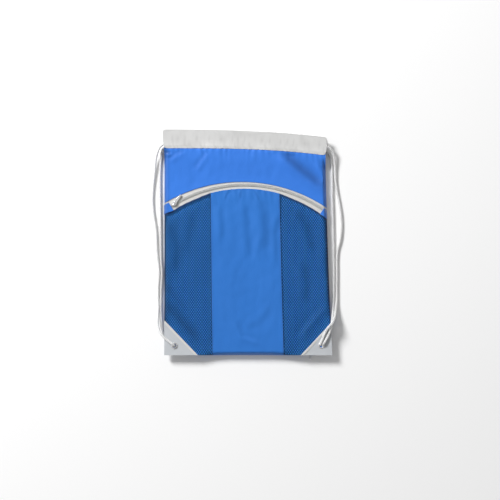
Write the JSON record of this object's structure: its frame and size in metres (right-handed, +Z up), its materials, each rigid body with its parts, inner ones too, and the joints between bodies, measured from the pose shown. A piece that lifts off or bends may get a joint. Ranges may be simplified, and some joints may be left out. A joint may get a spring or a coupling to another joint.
{
  "type": "drawstring backpack",
  "caption": "Blue drawstring backpack with a curved zip pocket, mesh side panels, grey corner patches with grommets and white cord straps.",
  "frame": {"origin": "on the floor under the middle of the bag, cords left out; the bag lies on its back", "axes": "+Z up out of the front face, +Y towards the mouth, +X to the right as the front is seen"},
  "size_m": [0.3897, 0.4667, 0.0274],
  "materials": {
    "blue_nylon": "plain weave nylon, semi-matt",
    "deep_blue_nylon": "plain weave nylon seen through the mesh, matt",
    "blue_mesh": "knitted mesh with staggered round holes",
    "grey_nylon": "light grey plain weave nylon, semi-matt",
    "patch_nylon": "grey coated nylon, matt",
    "zipper_tape": "off-white woven tape, matt",
    "zipper_coil": "grey nylon coil, satin",
    "white_cord": "white braided polyester cord, matt",
    "zinc_metal": "plated, polished",
    "nickel_steel": "nickel plated, polished"
  },
  "bodies": {
    "bag": {"back_panel": "blue_nylon", "pocket_lining": "deep_blue_nylon", "upper_front_panel": "blue_nylon", "pocket_centre_panel": "blue_nylon", "pocket_mesh_left": "blue_mesh", "pocket_mesh_right": "blue_mesh", "front_casing": "grey_nylon", "back_casing": "grey_nylon", "zipper_tape_upper": "zipper_tape", "zipper_tape_lower": "zipper_tape", "zipper_coil_upper": "zipper_coil", "zipper_coil_lower": "zipper_coil", "zipper_tab_left": "blue_nylon", "zipper_tab_right": "blue_nylon", "corner_patch_front_left": "patch_nylon", "corner_patch_front_right": "patch_nylon", "corner_patch_back_left": "patch_nylon", "corner_patch_back_right": "patch_nylon", "grommet_left": "nickel_steel", "grommet_right": "nickel_steel", "grommet_washer_left": "nickel_steel", "grommet_washer_right": "nickel_steel", "drawcord_left": "white_cord", "drawcord_right": "white_cord", "cord_knot_left": "white_cord", "cord_knot_right": "white_cord"},
    "slider": {"zipper_slider": "zinc_metal"},
    "puller": {"zipper_puller": "zinc_metal"}
  },
  "joints": [
    {"name": "slider_travel", "type": "hinge", "parent": "bag", "child": "slider", "pos_m": [-0.0066, -0.1606, 0], "axis": [0, 0, -1], "range_deg": [0, 63]},
    {"name": "puller_flip", "type": "hinge", "parent": "slider", "child": "puller", "pos_m": [-0.1495, 0.07856, 0.0199], "axis": [0.7771, -0.6293, 0], "range_deg": [0, 170]}
  ]
}
